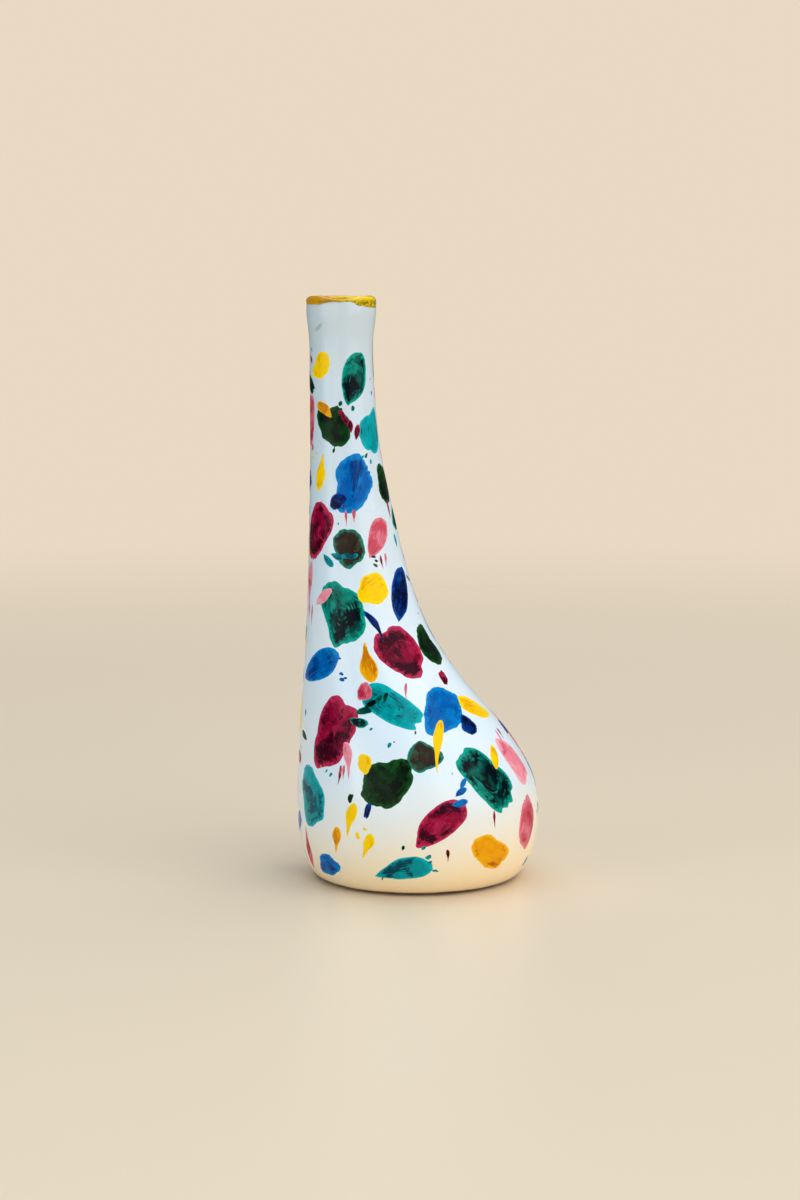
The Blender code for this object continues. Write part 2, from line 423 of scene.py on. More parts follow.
class Nodes:
    """Short names for the shader nodes that the finishes and the light are built from."""

    def __init__(self, tree: bpy.types.NodeTree) -> None:
        """Keeps the tree that the nodes go in."""
        self.tree = tree

    def node(
        self, kind: str, inputs: dict[str | int, object] | None = None, **settings: object
    ) -> bpy.types.Node:
        """Adds a node.

        Args:
            kind: The node's type, without its prefix.
            inputs: Values or sockets for its inputs.
            **settings: Its properties.

        Returns:
            The node.
        """
        made = self.tree.nodes.new("ShaderNode" + kind)
        for key, value in settings.items():
            setattr(made, key, value)
        for key, value in (inputs or {}).items():
            if isinstance(value, bpy.types.NodeSocket):
                self.tree.links.new(value, made.inputs[key])
            else:
                made.inputs[key].default_value = value
        return made

    def length(self, place: bpy.types.NodeSocket) -> bpy.types.NodeSocket:
        """How far a place lies from the middle."""
        return self.node("VectorMath", {0: place}, operation="LENGTH").outputs["Value"]

    def object_place(self) -> bpy.types.NodeSocket:
        """The point's place in the pot's own frame."""
        return self.node("TexCoord").outputs["Object"]

    def map_of(self, name: str) -> bpy.types.NodeSocket:
        """One of the piece's own flat maps."""
        return self.node("UVMap", uv_map=name).outputs["UV"]

    def stretched(self, place: bpy.types.NodeSocket, scale: Sequence[float]) -> bpy.types.NodeSocket:
        """A place with each axis scaled by its own factor."""
        return self.node("Mapping", {"Vector": place, "Scale": scale}).outputs["Vector"]

    def sum(self, first: bpy.types.NodeSocket, second: bpy.types.NodeSocket) -> bpy.types.NodeSocket:
        """Two places added together."""
        return self.node("VectorMath", {0: first, 1: second}, operation="ADD").outputs["Vector"]

    def noise(
        self,
        place: bpy.types.NodeSocket,
        scale: float,
        detail: float = 3.0,
        roughness: float = 0.5,
        distortion: float = 0.0,
    ) -> bpy.types.NodeSocket:
        """Cloudy noise from 0 to 1.

        Args:
            place: Where to read it.
            scale: Repeats in each unit of the place.
            detail: How many finer layers it has.
            roughness: How strong the finer layers are.
            distortion: How much it swirls.

        Returns:
            The noise's value.
        """
        inputs = {
            "Vector": place,
            "Scale": scale,
            "Detail": detail,
            "Roughness": roughness,
            "Distortion": distortion,
        }
        return self.node("TexNoise", inputs).outputs["Fac"]

    def math(self, operation: str, *values: object, clamp: bool = False) -> bpy.types.NodeSocket:
        """Arithmetic on values or sockets."""
        inputs = dict(enumerate(values))
        return self.node("Math", inputs, operation=operation, use_clamp=clamp).outputs["Value"]

    def centred(self, noise: bpy.types.NodeSocket) -> bpy.types.NodeSocket:
        """Noise moved down so that it lies about 0."""
        return self.math("SUBTRACT", noise, 0.5)

    def between(self, value: bpy.types.NodeSocket, low: float, high: float) -> bpy.types.NodeSocket:
        """A soft step from 0 at low to 1 at high. It falls where low is above high.

        Args:
            value: What is measured.
            low: The value at which the step is 0.
            high: The value at which the step is 1.

        Returns:
            The step.
        """
        rising = low < high
        inputs = {
            "Value": value,
            "From Min": min(low, high),
            "From Max": max(low, high),
            "To Min": 0.0 if rising else 1.0,
            "To Max": 1.0 if rising else 0.0,
        }
        return self.node("MapRange", inputs, interpolation_type="SMOOTHSTEP").outputs["Result"]

    def waterline(
        self,
        height: bpy.types.NodeSocket,
        cloud: bpy.types.NodeSocket,
        waver: float,
        low: float,
        high: float,
    ) -> bpy.types.NodeSocket:
        """A soft step up the pot, along a line that wavers with a cloud.

        Args:
            height: How high each point lies.
            cloud: Noise from 0 to 1.
            waver: How far the cloud moves the line, in metres.
            low: The height at which the step is 0.
            high: The height at which the step is 1.

        Returns:
            The step.
        """
        return self.between(self.math("MULTIPLY_ADD", cloud, waver, height), low, high)

    def blend(self, share: bpy.types.NodeSocket, first: object, second: object) -> bpy.types.NodeSocket:
        """One colour turning into another.

        Args:
            share: How far it has turned, from 0 to 1.
            first: The colour at 0.
            second: The colour at 1.

        Returns:
            The colour between.
        """
        made = self.node("Mix", data_type="RGBA")
        self.tree.links.new(share, made.inputs["Factor"])
        for socket, colour in ((made.inputs[6], first), (made.inputs[7], second)):
            if isinstance(colour, bpy.types.NodeSocket):
                self.tree.links.new(colour, socket)
            else:
                socket.default_value = (*colour, 1.0)
        return made.outputs[2]

    def tinted(
        self,
        colour: bpy.types.NodeSocket,
        share: bpy.types.NodeSocket,
        strength: bpy.types.NodeSocket | float,
        tint: Colour,
    ) -> bpy.types.NodeSocket:
        """A colour with another laid over it.

        Args:
            colour: The colour below.
            share: Where the other lies, from 0 to 1.
            strength: How strongly it covers there.
            tint: The colour over it.

        Returns:
            The colour seen.
        """
        return self.blend(self.math("MULTIPLY", share, strength), colour, tint)

    def relief(
        self, height: bpy.types.NodeSocket, deep: float, before: bpy.types.NodeSocket | None = None
    ) -> bpy.types.NodeSocket:
        """A bumpy normal.

        Args:
            height: The pattern, from 0 to 1.
            deep: How far 1 stands over 0, in metres.
            before: A normal from coarser relief to add this to.

        Returns:
            The normal.
        """
        inputs: dict[str | int, object] = {"Height": height, "Strength": 1.0, "Distance": deep}
        if before is not None:
            inputs["Normal"] = before
        return self.node("Bump", inputs).outputs["Normal"]


class NodeKit(Nodes):
    """The nodes of one finish, round a Principled shader."""

    def __init__(self, name: str) -> None:
        """Starts the material.

        Args:
            name: The material's name.
        """
        self.material = bpy.data.materials.new(name)
        self.material.use_nodes = True
        super().__init__(self.material.node_tree)
        self.shader = self.tree.nodes["Principled BSDF"]

    def finish(
        self,
        colour: bpy.types.NodeSocket,
        roughness: bpy.types.NodeSocket | float,
        normal: bpy.types.NodeSocket | None = None,
        bending: float = 1.5,
    ) -> bpy.types.Material:
        """Joins the patterns to the shader.

        Args:
            colour: The base colour.
            roughness: One value, or a pattern.
            normal: The bumpy normal, if there is one.
            bending: How strongly the surface bends light, which sets how strongly it mirrors.

        Returns:
            The material.
        """
        self.tree.links.new(colour, self.shader.inputs["Base Color"])
        if isinstance(roughness, bpy.types.NodeSocket):
            self.tree.links.new(roughness, self.shader.inputs["Roughness"])
        else:
            self.shader.inputs["Roughness"].default_value = roughness
        if normal is not None:
            self.tree.links.new(normal, self.shader.inputs["Normal"])
        self.shader.inputs["IOR"].default_value = bending
        return self.material


def screen_colour(red: int, green: int, blue: int) -> Colour:
    """A colour as a screen shows it, turned into the light it stands for.

    Args:
        red: Its red level, from 0 to 255.
        green: Its green level.
        blue: Its blue level.

    Returns:
        The light's three shares, from 0 to 1.
    """
    shares = [level / 255 for level in (red, green, blue)]
    light = [share / 12.92 if share <= 0.04045 else ((share + 0.055) / 1.055) ** 2.4 for share in shares]
    return light[0], light[1], light[2]


@dataclass(frozen=True)
class WhiteGlaze:
    """The glossy white glaze, cool where it is thick, with painted warm light bounced from the floor above
    the foot.

    Painted shade greys it a little up the neck and more under the lip, where it has one faint thumb mark on
    its left.
    Each pair of heights is where a colour starts to show and where it is full.
    """

    thick: Colour = screen_colour(220, 236, 248)
    thin: Colour = screen_colour(230, 239, 244)
    # Painted warm bounce light from the floor, laid over the white near the foot.
    floor_bounce: Colour = screen_colour(254, 222, 162)
    # Painted shade up the neck, and deeper painted shade under the lip.
    shaded: Colour = screen_colour(201, 216, 225)
    shade_under_lip: Colour = screen_colour(199, 207, 206)
    film: Colour = screen_colour(176, 190, 186)
    smudge: Colour = screen_colour(112, 146, 136)
    speck: Colour = screen_colour(118, 112, 106)
    thumb: tuple[float, float, float] = (-0.0457, -0.0119, 0.2555)
    thumb_size: tuple[float, float, float] = (0.0034, 0.0080, 0.0013)
    bounce_slope: float = -0.10
    bounce_heights: tuple[float, float] = (0.062, 0.004)
    neck_heights: tuple[float, float] = (0.090, 0.225)
    shade_under_lip_heights: tuple[float, float] = (0.230, 0.262)

    def dress(self) -> bpy.types.Material:
        """Builds the material.

        Returns:
            The material.
        """
        kit = NodeKit("white_glaze")
        place = kit.object_place()
        cloud = kit.noise(place, 34, detail=2)
        colour = kit.blend(kit.between(cloud, 0.35, 0.72), self.thick, self.thin)
        axes = kit.node("SeparateXYZ", {"Vector": place}).outputs
        # Painted warm bounce light from the floor: it climbs higher towards +X, where the warm light falls.
        leaning = kit.math("MULTIPLY_ADD", axes["X"], self.bounce_slope, axes["Z"])
        low = kit.waterline(leaning, cloud, 0.012, *self.bounce_heights)
        colour = kit.tinted(colour, low, 0.85, self.floor_bounce)
        # Painted shade: the white darkens up the neck, and more under the lip.
        neck = kit.waterline(axes["Z"], cloud, 0.010, *self.neck_heights)
        colour = kit.tinted(colour, neck, 0.85, self.shaded)
        high = kit.waterline(axes["Z"], cloud, 0.010, *self.shade_under_lip_heights)
        colour = kit.tinted(colour, high, 0.60, self.shade_under_lip)
        film = kit.noise(kit.stretched(place, (1, 1, 0.5)), 70, detail=4, roughness=0.6)
        colour = kit.tinted(colour, kit.between(film, 0.62, 0.80), 0.22, self.film)
        colour = kit.tinted(colour, self.thumb_mark(kit, place), 0.45, self.smudge)
        pits = kit.node("TexVoronoi", {"Vector": place, "Scale": 210.0, "Randomness": 1.0})
        rare = kit.between(kit.noise(place, 90, detail=1), 0.66, 0.70)
        dots = kit.math("MULTIPLY", kit.between(pits.outputs["Distance"], 0.085, 0.05), rare)
        colour = kit.tinted(colour, dots, 0.75, self.speck)
        normal = kit.relief(kit.noise(place, 60, detail=1), 0.00012)
        normal = kit.relief(kit.noise(place, 900, detail=2), 0.000006, normal)
        return kit.finish(colour, kit.math("MULTIPLY_ADD", cloud, 0.08, 0.16), normal)

    def thumb_mark(self, kit: NodeKit, place: bpy.types.NodeSocket) -> bpy.types.NodeSocket:
        """The ragged oval that a thumb left.

        Args:
            kit: The finish's nodes.
            place: The point's place in the pot's own frame.

        Returns:
            How strongly the oval shows, from 0 to 1.
        """
        slant = {"Location": self.thumb, "Rotation": (0, -math.pi / 4, 0), "Scale": self.thumb_size}
        oval = kit.node("Mapping", {"Vector": place, **slant}, vector_type="TEXTURE")
        away = kit.length(oval.outputs["Vector"])
        grain = kit.noise(place, 700, detail=4, roughness=0.7)
        return kit.between(kit.math("MULTIPLY_ADD", grain, 1.6, away), 1.75, 1.15)


@dataclass(frozen=True)
class LipGlaze:
    """The golden-yellow glaze on the lip: amber where it is thick, olive where it has pooled."""

    bright: Colour = screen_colour(246, 206, 0)
    amber: Colour = screen_colour(216, 148, 4)
    pooled: Colour = screen_colour(84, 78, 0)
    bright_sides: tuple[float, float] = (-0.046, -0.026)
    pool_sides: tuple[float, float] = (-0.053, -0.038)
    pool_heights: tuple[float, float] = (0.2702, 0.2678)

    def dress(self) -> bpy.types.Material:
        """Builds the material.

        Returns:
            The material.
        """
        kit = NodeKit("yellow_glaze")
        place = kit.object_place()
        axes = kit.node("SeparateXYZ", {"Vector": place}).outputs
        side = kit.between(axes["X"], *self.bright_sides)
        cloud = kit.noise(place, 180, detail=4, roughness=0.6)
        lean = kit.math("MULTIPLY_ADD", kit.centred(cloud), 1.4, side, clamp=True)
        colour = kit.blend(lean, self.amber, self.bright)
        low = kit.waterline(axes["Z"], cloud, 0.002, *self.pool_heights)
        streaks = kit.noise(kit.stretched(place, (1, 1, 1.3)), 700, detail=5, roughness=0.8)
        pool = kit.math("MULTIPLY", low, kit.between(streaks, 0.38, 0.56))
        pool = kit.math("MULTIPLY", pool, kit.between(axes["X"], *self.pool_sides))
        colour = kit.tinted(colour, pool, 0.85, self.pooled)
        normal = kit.relief(kit.noise(place, 260, detail=2), 0.00016)
        normal = kit.relief(kit.noise(place, 1500, detail=2), 0.00001, normal)
        return kit.finish(colour, kit.math("MULTIPLY_ADD", streaks, 0.06, 0.02), normal, bending=1.4)


@dataclass(frozen=True)
class LiningGlaze:
    """The pale glaze inside, with stained patches."""

    pale: Colour = screen_colour(232, 226, 212)
    stain: Colour = screen_colour(206, 186, 150)

    def dress(self) -> bpy.types.Material:
        """Builds the material.

        Returns:
            The material.
        """
        kit = NodeKit("lining_glaze")
        place = kit.object_place()
        cloud = kit.noise(kit.stretched(place, (1, 1, 0.3)), 120, detail=4)
        colour = kit.blend(kit.between(cloud, 0.4, 0.7), self.pale, self.stain)
        normal = kit.relief(kit.noise(place, 150, detail=2), 0.00015)
        return kit.finish(colour, kit.math("MULTIPLY_ADD", cloud, 0.10, 0.14), normal)


@dataclass(frozen=True)
class FiredClay:
    """Bare earthenware: sandy, matt, and darker towards its lowest edge."""

    body: Colour = screen_colour(150, 104, 72)
    pale: Colour = screen_colour(182, 138, 102)
    dark: Colour = screen_colour(82, 54, 38)
    low_dark_heights: tuple[float, float] = (0.0016, 0.0004)

    def dress(self) -> bpy.types.Material:
        """Builds the material.

        Returns:
            The material.
        """
        kit = NodeKit("fired_clay")
        place = kit.object_place()
        cloud = kit.noise(place, 90, detail=5, roughness=0.65)
        grain = kit.noise(place, 1400, detail=3, roughness=0.7)
        colour = kit.blend(kit.between(cloud, 0.35, 0.7), self.body, self.pale)
        height = kit.node("SeparateXYZ", {"Vector": place}).outputs["Z"]
        # Darker towards the foot's lowest edge, where it stands on the table.
        low_dark = kit.waterline(height, cloud, 0.0012, *self.low_dark_heights)
        colour = kit.tinted(colour, low_dark, 0.55, self.dark)
        colour = kit.tinted(colour, kit.between(grain, 0.58, 0.72), 0.6, self.dark)
        turning = {"Vector": place, "Scale": 60.0, "Distortion": 3.0}
        rings = kit.node("TexWave", turning, wave_type="RINGS", rings_direction="Z")
        normal = kit.relief(rings.outputs["Fac"], 0.00006)
        normal = kit.relief(grain, 0.00009, normal)
        return kit.finish(colour, kit.math("MULTIPLY_ADD", grain, 0.2, 0.7), normal)


@dataclass(frozen=True)
class PaintedGlaze:
    """A coloured glaze laid on with a soft brush: clear at its rim, and dark where the brush left most of it.

    Core is how much of the middle is dark, streaks how strongly the bristles show, curl how far their lines
    follow the rim instead of running straight, foam how many tiny pale bubbles it holds, which also serve as
    painted glints, and grit how rough it is.
    """

    name: str
    rim: Colour
    body: Colour
    deep: Colour
    core: float = 0.5
    streaks: float = 0.8
    curl: float = 0.4
    foam: float = 0.0
    grit: float = 0.3
    # The colour of the bubbles, which also serve as painted glints.
    bubble: Colour = screen_colour(226, 232, 228)

    def dress(self) -> bpy.types.Material:
        """Builds the material from the mark's own maps.

        The map named disc is 0 at a mark's middle and 1 at its rim. The map named brush is in millimetres,
        with its second axis along the brush stroke, and starts somewhere else on each mark.

        Returns:
            The material.
        """
        kit = NodeKit("paint_" + self.name)
        place, brush = kit.map_of("disc"), kit.map_of("brush")
        disc = kit.length(place)
        wash = kit.noise(brush, 0.09, detail=2, distortion=0.8)
        bristle = self.bristles(kit, place, brush, wash)
        ragged = kit.noise(brush, 0.5, detail=4, roughness=0.65)
        reach = kit.math("MULTIPLY_ADD", kit.centred(ragged), 0.62, disc)
        colour = kit.blend(kit.between(reach, 1.0, 0.72), self.rim, self.body)
        watery = kit.between(kit.noise(brush, 0.10, detail=3, distortion=1.5), 0.44, 0.70)
        colour = kit.tinted(colour, watery, 0.6, self.rim)
        full = 0.70 - 0.36 * self.core
        dark = kit.math("MULTIPLY", kit.between(bristle, full, full + 0.10), kit.between(reach, 0.94, 0.74))
        laid = kit.math("MULTIPLY_ADD", kit.noise(brush, 0.11, detail=2), 2.8, -0.42, clamp=True)
        colour = kit.tinted(colour, dark, laid, self.deep)
        bare = 0.40 - 0.16 * self.core
        colour = kit.tinted(colour, kit.between(bristle, bare, bare - 0.09), 0.75, self.rim)
        # Pale bubble dots: partly the glaze's own bubbles, partly painted glints.
        if self.foam > 0:
            colour = kit.tinted(colour, self.bubbles(kit, brush), 0.7, self.bubble)
        ridges = kit.relief(bristle, 0.00005)
        grit = kit.noise(brush, 1.9, detail=3, roughness=0.65)
        normal = kit.relief(grit, 0.00008 * self.grit, ridges)
        return kit.finish(colour, kit.math("MULTIPLY_ADD", grit, 0.14, 0.10), normal, bending=1.18)

    def bristles(
        self,
        kit: NodeKit,
        place: bpy.types.NodeSocket,
        brush: bpy.types.NodeSocket,
        wash: bpy.types.NodeSocket,
    ) -> bpy.types.NodeSocket:
        """The lines that the bristles leave, some straight along the stroke and some round the rim.

        Args:
            kit: The finish's nodes.
            place: The map named disc.
            brush: The map named brush.
            wash: Broad changes in how thick the glaze lies.

        Returns:
            How much glaze lies at each point.
        """
        along = kit.stretched(brush, (1.7, 0.08, 1))
        straight = kit.noise(along, 1.0, detail=4, roughness=0.6, distortion=0.3)
        rings = {"X": kit.math("MULTIPLY", kit.length(place), 9.0), "Z": kit.math("MULTIPLY", wash, 5.0)}
        spiral = kit.node("CombineXYZ", rings).outputs["Vector"]
        circling = kit.sum(spiral, kit.stretched(place, (0.9, 0.9, 1)))
        around = kit.sum(circling, kit.stretched(brush, (0.02, 0.02, 1)))
        curly = kit.noise(around, 1.3, detail=4, roughness=0.6, distortion=0.3)
        hairs = kit.node("Mix", {"Factor": self.curl, "A": straight, "B": curly}).outputs["Result"]
        spread = kit.math("MULTIPLY", kit.centred(hairs), self.streaks)
        fine = kit.noise(kit.stretched(brush, (5.0, 0.10, 1)), 1.0, detail=2, distortion=0.2)
        thread = kit.math("MULTIPLY", kit.centred(fine), 0.30 * self.streaks)
        return kit.math("ADD", kit.math("ADD", spread, wash), thread)

    def bubbles(self, kit: NodeKit, brush: bpy.types.NodeSocket) -> bpy.types.NodeSocket:
        """Patches of tiny pale bubbles, which also serve as painted glints.

        Args:
            kit: The finish's nodes.
            brush: The map named brush.

        Returns:
            1 in a bubble and 0 elsewhere.
        """
        cells = kit.node("TexVoronoi", {"Vector": brush, "Scale": 1.25}).outputs["Distance"]
        few = 0.62 - 0.2 * self.foam
        patches = kit.between(kit.noise(brush, 0.35, detail=2), few, few + 0.08)
        return kit.math("MULTIPLY", kit.between(cells, 0.15, 0.06), patches)


def coloured(name: str, rim: Levels, body: Levels, deep: Levels, **more: float | Colour) -> PaintedGlaze:
    """A painted glaze, with its three colours as a screen shows them.

    Args:
        name: Its name.
        rim: Its colour where it is clear.
        body: Its usual colour.
        deep: Its colour where the brush left most of it.
        **more: Its other values.

    Returns:
        The glaze.
    """
    return PaintedGlaze(name, screen_colour(*rim), screen_colour(*body), screen_colour(*deep), **more)


class Pigment(Enum):
    """The coloured glazes on the brush, each with its clear rim, its body and its deepest colour."""

    CERULEAN = coloured("cerulean", (0, 134, 204), (0, 90, 168), (0, 54, 122), curl=0.2, grit=0.2)
    COBALT = coloured("cobalt", (0, 76, 168), (0, 46, 124), (0, 8, 38), core=0.8, foam=0.15, grit=0.35)
    TURQUOISE = coloured(
        "turquoise", (0, 174, 182), (0, 138, 144), (0, 62, 80), core=0.55, curl=0.6, grit=0.2
    )
    EMERALD = coloured("emerald", (0, 160, 140), (0, 112, 96), (0, 14, 22), core=0.95, curl=0.8, grit=0.5)
    BOTTLE_GREEN = coloured(
        "bottle_green",
        (22, 78, 30),
        (10, 46, 18),
        (5, 20, 9),
        core=0.75,
        foam=0.25,
        grit=0.9,
        bubble=screen_colour(96, 168, 92),
    )
    OLIVE = coloured("olive", (0, 130, 108), (68, 64, 48), (44, 34, 28), core=0.8, streaks=0.4, grit=0.6)
    CRIMSON = coloured(
        "crimson",
        (192, 44, 84),
        (138, 0, 46),
        (54, 0, 22),
        core=0.75,
        curl=0.6,
        foam=0.6,
        grit=0.7,
        bubble=screen_colour(232, 170, 184),
    )
    ROSE = coloured("rose", (224, 130, 144), (200, 74, 92), (166, 34, 56), curl=0.1, grit=0.2)
    PINK = coloured("pink", (240, 176, 184), (232, 130, 146), (206, 84, 106), core=0.4, curl=0.3, grit=0.15)
    YELLOW = coloured("yellow", (255, 216, 6), (250, 200, 0), (228, 160, 0), core=0.4, curl=0.1, grit=0.15)
    AMBER = coloured("amber", (244, 180, 8), (230, 150, 2), (182, 100, 6), grit=0.2)
    INK = coloured(
        "ink",
        (14, 70, 66),
        (14, 30, 34),
        (8, 12, 18),
        core=0.7,
        foam=0.2,
        grit=0.9,
        bubble=screen_colour(110, 130, 60),
    )


class Stroke(Enum):
    """How the brush met the pot."""

    DAB = "a round, uneven touch"
    LEAF = "pressed down at its upper end, and lifted to a point below"
    DROP = "round below, with a narrower tail above"
    TAIL = "round above, drawn out to a point below"
    SWEEP = "dragged along, with a ragged end"


@dataclass(frozen=True)
class Mark:
    """One touch of the brush. Its angle is in degrees to the right of the front, and its sizes are in mm."""

    pigment: Pigment
    stroke: Stroke
    angle: float
    height: float
    length: float
    width: float
    tilt: float = 0.0
    bend: float = 0.0
    over: int = 0
    seed: int = 0

    @property
    def luck(self) -> random.Random:
        """A row of random numbers that is always the same for this mark."""
        return random.Random(self.seed * 7919 + 17)

    @property
    def reach(self) -> float:
        """The mark's half-size in mm, a little less than to its furthest point."""
        return 0.25 * (self.length + self.width)


class Outline:
    """Shapes a flat disc of radius 1 into the outline that a stroke of the brush leaves."""

    # How strongly the rim waves, by how many waves go round it.
    waviness: dict[int, float] = {
        2: 0.08, 3: 0.07, 4: 0.045, 5: 0.035, 7: 0.020, 9: 0.014, 13: 0.010, 19: 0.007
    }
    squareness: float = 3.2

    def __init__(self, mark: Mark) -> None:
        """Draws the mark's own random numbers.

        Args:
            mark: The mark.
        """
        self.mark = mark
        luck = mark.luck
        self.waves = []
        for count, size in self.waviness.items():
            self.waves.append((count, size * luck.uniform(0.5, 1.3), luck.uniform(0, math.tau)))
        self.sway = luck.uniform(-0.045, 0.045)
        self.torn = luck.uniform(0, math.tau)
        self.tear = luck.choice([0.0, 0.4, 1.0])
        self.fringe = []
        for counts in ((4, 7), (9, 13)):
            self.fringe.append((luck.uniform(*counts), luck.uniform(0, math.tau)))

    def swell(self, turn: np.ndarray) -> np.ndarray:
        """How far the rim lies from the middle, against a true circle.

        Args:
            turn: Angles round the mark.

        Returns:
            One share for each angle, about 1.
        """
        size = 1 + sum(size * np.sin(count * turn + start) for count, size, start in self.waves)
        near = self.tear * np.exp(-(((turn - self.torn + math.pi) % math.tau - math.pi) ** 2) / 0.4)
        return size + near * (0.030 * np.sin(23 * turn) + 0.020 * np.sin(31 * turn + 1))

    def shape(self, x: np.ndarray, y: np.ndarray) -> tuple[np.ndarray, np.ndarray]:
        """Places points of the disc.

        Args:
            x: Across the disc, from -1 to 1.
            y: Along the disc, from -1 below to 1 above.

        Returns:
            The points in metres, across and along the stroke, before it is tilted.
        """
        mark, turn = self.mark, np.arctan2(y, x)
        swell = self.swell(turn)
        if mark.stroke is Stroke.DAB:
            across, along = x * swell, y * swell
        elif mark.stroke is Stroke.SWEEP:
            power = self.squareness
            square = (np.abs(np.cos(turn)) ** power + np.abs(np.sin(turn)) ** power) ** (-1 / power)
            across, along = x * square * (1 + (swell - 1) * 0.6), y * square
            fringe = sum(0.045 * np.sin(count * across + start) for count, start in self.fringe)
            along = along + fringe * np.abs(y) ** 3 * np.where(y < 0, 1.5, 0.5)
        else:
            across = x * (1 + (swell - 1) * 0.6) * self.pinch(y)
            along = y * (1 + (swell - 1) * 0.4)
        across = across * mark.width / 2 + (mark.bend + self.sway * mark.length) * (1 - y**2)
        return across * MM, along * mark.length / 2 * MM

    def pinch(self, y: np.ndarray) -> np.ndarray:
        """How much a leaf, a drop or a tail narrows along its length.

        Args:
            y: Along the mark, from -1 below to 1 above.

        Returns:
            Its width there, as a share of its greatest.
        """
        if self.mark.stroke is Stroke.LEAF:
            return np.clip(1 + y, 0, 2) ** 0.36 * np.clip(1 - y, 0, 2) ** 0.06
        if self.mark.stroke is Stroke.DROP:
            return 0.30 + 0.70 / (1 + np.exp(6 * (y - 0.15)))
        return 0.26 + 0.74 / (1 + np.exp(-6 * (y + 0.05)))


@dataclass
class BrushWork:
    """Turns marks into thin lenses of glaze that lie on the pot."""

    form: PotForm
    lift: float = 0.00011
    lift_share: float = 0.03
    edge_sink: float = 0.00004
    back_sink: float = 0.00016
    stack: float = 0.00006
    large: float = 9.0
    middling: float = 3.5

    def __post_init__(self) -> None:
        """Makes the balls that every mark is pressed from: for large, middling and small marks."""
        self.balls = [self.ball(96, 18), self.ball(48, 12), self.ball(24, 8)]

    @staticmethod
    def ball(segments: int, rings: int) -> bpy.types.Mesh:
        """A ball with two empty maps.

        Args:
            segments: Points round it.
            rings: Points from one pole to the other.

        Returns:
            The mesh.
        """
        bm = bmesh.new()
        bm.loops.layers.uv.new("disc")
        bm.loops.layers.uv.new("brush")
        bmesh.ops.create_uvsphere(bm, u_segments=segments, v_segments=rings, radius=1.0)
        mesh = bpy.data.meshes.new("ball")
        bm.to_mesh(mesh)
        bm.free()
        return mesh

    def pressed(self, mark: Mark) -> bpy.types.Mesh:
        """Presses a ball flat into one mark on the pot.

        Args:
            mark: The mark.

        Returns:
            A new mesh.
        """
        size = 0 if mark.length > self.large else 1 if mark.length > self.middling else 2
        mesh = self.balls[size].copy()
        flat = np.empty(len(mesh.vertices) * 3, np.float32)
        mesh.vertices.foreach_get("co", flat)
        x, y, z = flat.reshape(-1, 3).astype(float).T
        across, along = Outline(mark).shape(x, y)
        tilt = math.radians(mark.tilt)
        right = across * math.cos(tilt) + along * math.sin(tilt)
        up = along * math.cos(tilt) - across * math.sin(tilt)
        turns, heights = self.form.walk(math.radians(mark.angle - 90), mark.height * MM, right, up)
        lift = min(self.lift, self.lift_share * mark.width * MM) + self.stack * mark.over
        plump = np.sqrt(np.clip(1 - (x**2 + y**2) ** 3, 0, 1))
        top = -self.edge_sink + (lift + self.edge_sink) * plump
        bottom = -self.edge_sink - (self.back_sink - self.edge_sink) * plump
        points = self.form.place(turns, heights, -np.where(z > 0, top, bottom))
        mesh.vertices.foreach_set("co", points.astype(np.float32).ravel())
        self.lay_maps(mesh, mark, (x, y), (across / MM, along / MM))
        return mesh

    @staticmethod
    def lay_maps(
        mesh: bpy.types.Mesh,
        mark: Mark,
        disc: tuple[np.ndarray, np.ndarray],
        brush: tuple[np.ndarray, np.ndarray],
    ) -> None:
        """Fills a mark's two maps. The brush lines start somewhere else on each mark.

        Args:
            mesh: The mark's mesh.
            mark: The mark.
            disc: Each point's place on the flat disc.
            brush: Each point's place along the stroke, in millimetres.
        """
        corners = np.empty(len(mesh.loops), np.int32)
        mesh.loops.foreach_get("vertex_index", corners)
        luck = mark.luck
        shifted = (brush[0] + luck.uniform(0, 900), brush[1] + luck.uniform(0, 900))
        for name, places in (("disc", disc), ("brush", shifted)):
            laid = np.stack(places, axis=-1)[corners].astype(np.float32)
            mesh.uv_layers[name].uv.foreach_set("vector", laid.ravel())

    def paint(self, marks: Sequence[Mark]) -> list[bpy.types.Object]:
        """Makes one object for each colour.

        Args:
            marks: All the marks on the pot.

        Returns:
            The objects.
        """
        pieces = []
        for pigment in Pigment:
            bm = bmesh.new()
            for mark in marks:
                if mark.pigment is pigment:
                    mesh = self.pressed(mark)
                    bm.from_mesh(mesh)
                    bpy.data.meshes.remove(mesh)
            pieces.append(Skins.finished("painted_" + pigment.value.name, bm, pigment.value.dress()))
        return pieces


